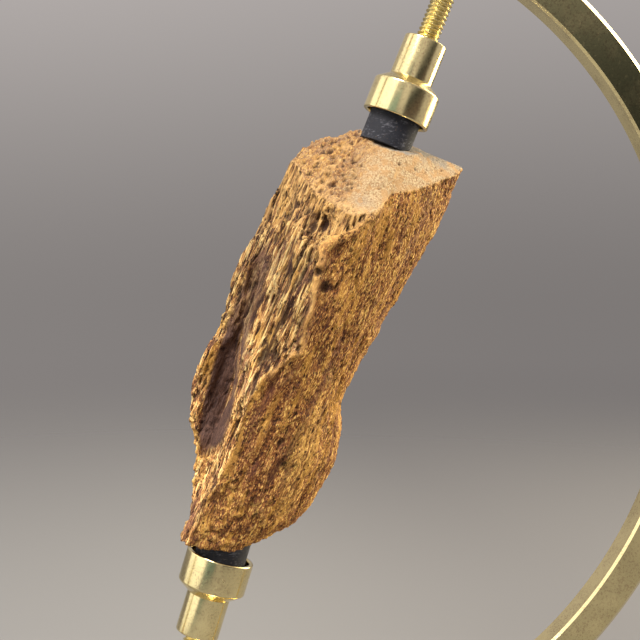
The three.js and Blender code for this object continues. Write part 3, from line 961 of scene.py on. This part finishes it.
def ring_surface(margin=0.0):
    """The ring's surface about its own axis, which lies along Y."""
    places, faces = turned_surface(ring_outline(margin), RING_SEGMENTS)
    stand_up = Matrix.Translation(RING_MIDDLE) @ Matrix.Rotation(math.radians(-90), 4, "X")
    count = RING_SEGMENTS * (len(ring_outline()) - 1)
    faces = [[corner % count for corner in face] for face in faces]
    return placed(places[:count], stand_up), faces


def loose_solid(name, places, faces):
    """A plain solid that is only used for cutting."""
    mesh = bpy.data.meshes.new(name)
    mesh.from_pydata([tuple(place) for place in places], [], faces)
    edit(mesh, lambda work: bmesh.ops.recalc_face_normals(work, faces=work.faces))
    return new_object(name, mesh)


def rod_hole(clamp):
    """The hole that a rod goes through in the ring."""
    outline = [
        (0, HOLE_START_MM), (HOLE_RADIUS_MM, HOLE_START_MM), (HOLE_RADIUS_MM, HOLE_END_MM), (0, HOLE_END_MM),
    ]
    places, faces = turned_surface(outline, CLAMP_SEGMENTS)
    return loose_solid(f"{clamp}_hole", placed(places, clamp_frame(clamp)), faces)


def make_ring(material):
    """The polished ring with the two rods' holes."""
    places, faces = ring_surface()
    ring = new_piece("ring_polished", places, faces, material, "stand", "ring")
    cut(ring, [rod_hole("upper"), rod_hole("lower")])


def make_base(material):
    """The round base with softened edges."""
    outline = [(0, 0), (BASE_RADIUS_MM, 0), (BASE_RADIUS_MM, BASE_HEIGHT_MM), (0, BASE_HEIGHT_MM)]
    places, faces = turned_surface(rounded(outline, (1, 2), STAND_EDGE_MM), STAND_SEGMENTS)
    base = new_piece("base_disc", places, faces, material, "stand", "base")


def make_post(material):
    """The post with its foot, cut out for the ring."""
    foot = BASE_HEIGHT_MM
    shaft = foot + GAP_MM + POST_FOOT_HEIGHT_MM
    top = RING_MIDDLE.z / MM - RING_OUTER_MM + POST_GRIP_MM
    outline = [
        (0, foot), (POST_FOOT_RADIUS_MM, foot), (POST_FOOT_RADIUS_MM, shaft - POST_FOOT_SLOPE_MM),
        (POST_RADIUS_MM, shaft), (POST_RADIUS_MM, top), (0, top),
    ]
    outline = rounded(outline, (2, 4), STAND_EDGE_MM / 2)
    places, faces = turned_surface(outline, STAND_SEGMENTS)
    post = new_piece("post_turned", places, faces, material, "stand", "post")
    places, faces = ring_surface(POST_SLOT_MARGIN_MM)
    cut(post, [loose_solid("ring_slot", places, faces)])


# Pieces of the clamps


def new_clamp_piece(clamp, kind, finish, places, faces, material):
    """A piece of a clamp, from places in the clamp's own frame."""
    places = placed(places, clamp_frame(clamp))
    name = f"{clamp}_{kind}"
    return new_piece(f"{name}_{finish}", places, faces, material, f"{clamp}_clamp", name)


def cup_outline():
    """The stepped cup as (radius, height) corners, from the bottom of the bowl round to the neck's bore."""
    shoulder = CUP_LENGTH_MM + CUP_SHOULDER_MM
    rear = shoulder + NECK_LENGTH_MM
    bore = ROD_RADIUS_MM + GAP_MM
    outline = [
        (0, CUP_DEPTH_MM), (CUP_INSIDE_MM, CUP_DEPTH_MM), (CUP_INSIDE_MM, 0), (CUP_RADIUS_MM, 0),
        (CUP_RADIUS_MM, CUP_LENGTH_MM), (NECK_RADIUS_MM, shoulder), (NECK_RADIUS_MM, rear), (bore, rear),
        (bore, rear - NECK_BORE_MM), (0, rear - NECK_BORE_MM),
    ]
    return rounded(outline, (2, 3, 4, 6, 7), CUP_EDGE_MM)


def make_cup(clamp, material):
    """A turned cup that holds a pad."""
    places, faces = turned_surface(cup_outline(), CLAMP_SEGMENTS)
    cup = new_clamp_piece(clamp, "cup", "turned", places, faces, material)


def make_rod(clamp, material):
    """A rod with a screw thread cut all along it."""
    near, far = reach_along(f"{clamp}_rod", clamp_frame(clamp))
    rows = round((far - near) / THREAD_PITCH_MM * THREAD_STEPS)
    heights = [near + (far - near) * row / rows for row in range(rows + 1)]
    outline = [(0, near)] + [(ROD_RADIUS_MM, height) for height in heights] + [(0, far)]

    def thread(row, step):
        turns = outline[row][1] / THREAD_PITCH_MM - step / ROD_SEGMENTS
        slope = abs(2 * (turns % 1.0) - 1)
        return -THREAD_DEPTH_MM * min(1.0, max(0.0, THREAD_FLANK * slope - THREAD_FLAT))

    places, faces = turned_surface(outline, ROD_SEGMENTS, thread)
    rod = new_clamp_piece(clamp, "rod", "threaded", places, faces, material)


def make_knob(clamp, material):
    """A round knob with a fine straight knurl."""
    near, far = reach_along(f"{clamp}_knob", clamp_frame(clamp))
    inner = near + KNOB_BORE_MM
    edge = KNOB_EDGE_MM
    bore = ROD_RADIUS_MM + GAP_MM
    outline = [
        (0, inner), (bore, inner), (bore, near), (KNOB_RADIUS_MM - edge, near),
        (KNOB_RADIUS_MM, near + edge), (KNOB_RADIUS_MM, far - edge), (KNOB_RADIUS_MM - edge, far), (0, far),
    ]

    def knurl(row, step):
        is_side = outline[row][0] == KNOB_RADIUS_MM
        return -KNOB_GROOVE_MM if is_side and step % 2 else 0.0

    places, faces = turned_surface(outline, 2 * KNOB_TEETH, knurl)
    knob = new_clamp_piece(clamp, "knob", "knurled", places, faces, material)


def pad_reaches(matrix, bone, radii):
    """How far it is from the pad's seat to the bone at each place of each ring, in millimetres."""
    toward_bone = -Vector(matrix.col[2][:3])
    tree = BVHTree.FromObject(bone, bpy.context.evaluated_depsgraph_get())
    reaches = []
    for radius in radii:
        row = []
        for step in range(CLAMP_SEGMENTS):
            angle = 2 * math.pi * step / CLAMP_SEGMENTS
            seat = Vector((radius * math.cos(angle), radius * math.sin(angle), PAD_SEAT_MM))
            start = matrix @ (seat * MM)
            hit = tree.ray_cast(start, toward_bone)[0]
            row.append((start - hit).length / MM if hit else math.inf)
        reaches.append(row)
    known = sorted(reach for row in reaches for reach in row if reach < math.inf)
    farthest = known[len(known) * 9 // 10]
    return [[min(reach, farthest) for reach in row] for row in reaches]


def make_pad(clamp, bone, material):
    """A rubber pad whose end takes the bone's own shape."""
    radii = [PAD_RADIUS_MM * ring / PAD_RINGS for ring in range(PAD_RINGS + 1)]
    reaches = pad_reaches(clamp_frame(clamp), bone, radii)
    outline = [(radius, 0) for radius in radii]
    outline += [(PAD_RADIUS_MM, 0)] * (PAD_SIDE_ROWS - 1) + [(PAD_RADIUS_MM, PAD_SEAT_MM), (0, PAD_SEAT_MM)]
    places, faces = turned_surface(outline, CLAMP_SEGMENTS)
    rim = PAD_SEAT_MM - np.array(reaches[-1])
    ends = []
    for ring, row in enumerate(reaches):
        easing = 0 if ring < PAD_RINGS else PAD_EASING_MM
        heights = [PAD_SEAT_MM - reach + PAD_GAP_MM + easing for reach in row]
        ends.append([sum(heights) / len(heights)] if ring == 0 else heights)
    for share in np.arange(1, PAD_SIDE_ROWS) / PAD_SIDE_ROWS:
        ends.append(list(rim + (PAD_SEAT_MM - rim) * share))
    heights = [height for row in ends for height in row]
    pressed = [Vector((x, y, height * MM)) for (x, y, _), height in zip(places, heights)]
    pressed += [Vector(place) for place in places[len(heights):]]
    pad = new_clamp_piece(clamp, "pad", "pressed", pressed, faces, material)


# Camera, lights and surroundings


def make_camera():
    """The camera at the photograph's angle."""
    data = bpy.data.cameras.new("camera")
    data.lens = CAMERA_LENS
    data.sensor_width = CAMERA_SENSOR
    data.dof.use_dof = False
    data.clip_start = CAMERA_CLIP
    camera = new_object("camera", data)
    yaw = math.radians(CAMERA_YAW)
    pitch = math.radians(CAMERA_PITCH)
    look = Vector((math.sin(yaw) * math.cos(pitch), math.cos(yaw) * math.cos(pitch), -math.sin(pitch)))
    camera.location = MIDDLE + Vector(CAMERA_TARGET_MM) * MM - look * CAMERA_DISTANCE_MM * MM
    camera.rotation_euler = look.to_track_quat("-Z", "Y").to_euler()
    bpy.context.scene.camera = camera


def make_light(name, at, size, power, colour, mirrored=True):
    """A soft rectangular light that shines at the bone, and that polished metal may or may not mirror."""
    data = bpy.data.lights.new(name, "AREA")
    data.shape = "RECTANGLE"
    data.size, data.size_y = size
    data.energy = power
    data.color = colour
    light = new_object(name, data)
    light.location = MIDDLE + Vector(at)
    light.rotation_euler = (-Vector(at)).to_track_quat("-Z", "Y").to_euler()
    light.visible_camera = False
    light.visible_glossy = mirrored


def make_world():
    """A plain grey room, lighter above, with pale sides and a dark doorway behind the viewer."""
    world = bpy.data.worlds.new("studio")
    bpy.context.scene.world = world
    world.use_nodes = True
    tree = world.node_tree
    direction = add_node(tree, "TexCoord").outputs["Generated"]
    parts = add_node(tree, "SeparateXYZ", {0: direction})
    height = parts.outputs[2]
    above = remap(tree, height, *BRIGHTER_ABOVE)
    aside = remap(tree, parts.outputs[0], *DARKER_ASIDE)
    strength = multiply(tree, above, aside)
    toward_viewer = multiply(tree, parts.outputs[1], -1.0)
    around = calculate(tree, "ARCTAN2", parts.outputs[0], toward_viewer)
    for borders, light in PALE_PARTS:
        strength = calculate(tree, "MULTIPLY_ADD", between(tree, around, borders), light, strength)

    doorway = multiply(tree, between(tree, around, DOORWAY), remap(tree, height, *DOORWAY_TOP))
    low = remap(tree, height, *DOORWAY_LOW)
    darkness = calculate(tree, "MULTIPLY_ADD", low, DOORWAY_LOW_LIGHT, -DOORWAY_DARKER)
    darkened = calculate(tree, "MULTIPLY_ADD", doorway, darkness, 1.0)
    strength = multiply(tree, strength, darkened)
    cool = multiply(tree, between(tree, around, COOL_WALL), remap(tree, height, *COOL_WALL_TOP))
    darkened = calculate(tree, "MULTIPLY_ADD", cool, -COOL_WALL_DARKER, 1.0)
    strength = multiply(tree, strength, darkened)
    doorway_colour = mix(tree, low, DOORWAY_HIGH_COLOUR, DOORWAY_LOW_COLOUR)
    colour = mix(tree, doorway, ROOM, doorway_colour)
    colour = mix(tree, cool, colour, COOL_WALL_COLOUR)
    background = tree.nodes["Background"]
    tree.links.new(colour, background.inputs["Color"])
    tree.links.new(strength, background.inputs["Strength"])


def floor_material():
    """Pale matte floor with painted shade that darkens it a little at the right, and that fades into the
    room far away.
    """
    material, tree, shader = new_material("floor")
    shader.inputs["Roughness"].default_value = 0.9
    place = add_node(tree, "TexCoord").outputs["Object"]
    aside = add_node(tree, "SeparateXYZ", {0: place}).outputs[0]
    # Painted shade toward the right of the floor
    shaded = remap(tree, aside, *FLOOR_SHADING)
    colour = mix(tree, shaded, FLOOR_COLOUR, FLOOR_RIGHT_PAINTED_SHADE)
    tree.links.new(colour, shader.inputs["Base Color"])
    far = add_node(tree, "VectorMath", {0: place}, operation="LENGTH").outputs["Value"]
    fade = remap(tree, far, *FLOOR_FADE)
    clear = add_node(tree, "BsdfTransparent")
    mixed = add_node(tree, "MixShader", {0: fade, 1: shader.outputs[0], 2: clear.outputs[0]})
    tree.links.new(mixed.outputs[0], tree.nodes["Material Output"].inputs["Surface"])
    return material


def make_floor():
    """A round floor under the stand."""
    mesh = bpy.data.meshes.new("floor")
    disc = {"cap_ends": True, "segments": FLOOR_SEGMENTS, "radius": FLOOR_RADIUS}
    edit(mesh, lambda work: bmesh.ops.create_circle(work, **disc))
    mesh.materials.append(floor_material())
    new_object("floor", mesh)


def make_surroundings():
    """Everything that isn't part of the object."""
    make_camera()
    make_world()
    make_floor()
    for name, light in LIGHTS.items():
        make_light(name, **light)
    bpy.context.scene.view_settings.view_transform = "Standard"


def make_stand():
    """The ring, the post and the base."""
    middle = tuple(RING_MIDDLE)
    ring_brass = brass_material("polished_brass_ring", RING_ROUGHNESS, POLISHED, 0.0, middle,
                                line_mm=0.5, line_depth=0.05)
    stand_brass = brass_material("polished_brass_stand", STAND_ROUGHNESS, POLISHED, 0.0, middle)
    make_ring(ring_brass)
    make_base(stand_brass)
    make_post(stand_brass)


def make_clamps(bone):
    """The rods, cups, pads and knobs of both clamps."""
    rubber = rubber_material()
    for clamp in ("upper", "lower"):
        matrix = clamp_frame(clamp)
        outward = matrix.col[2]
        turn = math.atan2(outward[0], outward[2])
        origin = tuple(matrix.translation)
        polished = brass_material(f"polished_brass_{clamp}", CUP_ROUGHNESS, POLISHED, turn, origin)
        threaded = brass_material(f"threaded_brass_{clamp}", THREAD_ROUGHNESS, THREADED, turn, origin)
        make_cup(clamp, polished)
        make_rod(clamp, threaded)
        make_knob(clamp, polished)
        make_pad(clamp, bone, rubber)


make_surroundings()
make_stand()
make_clamps(make_bone())
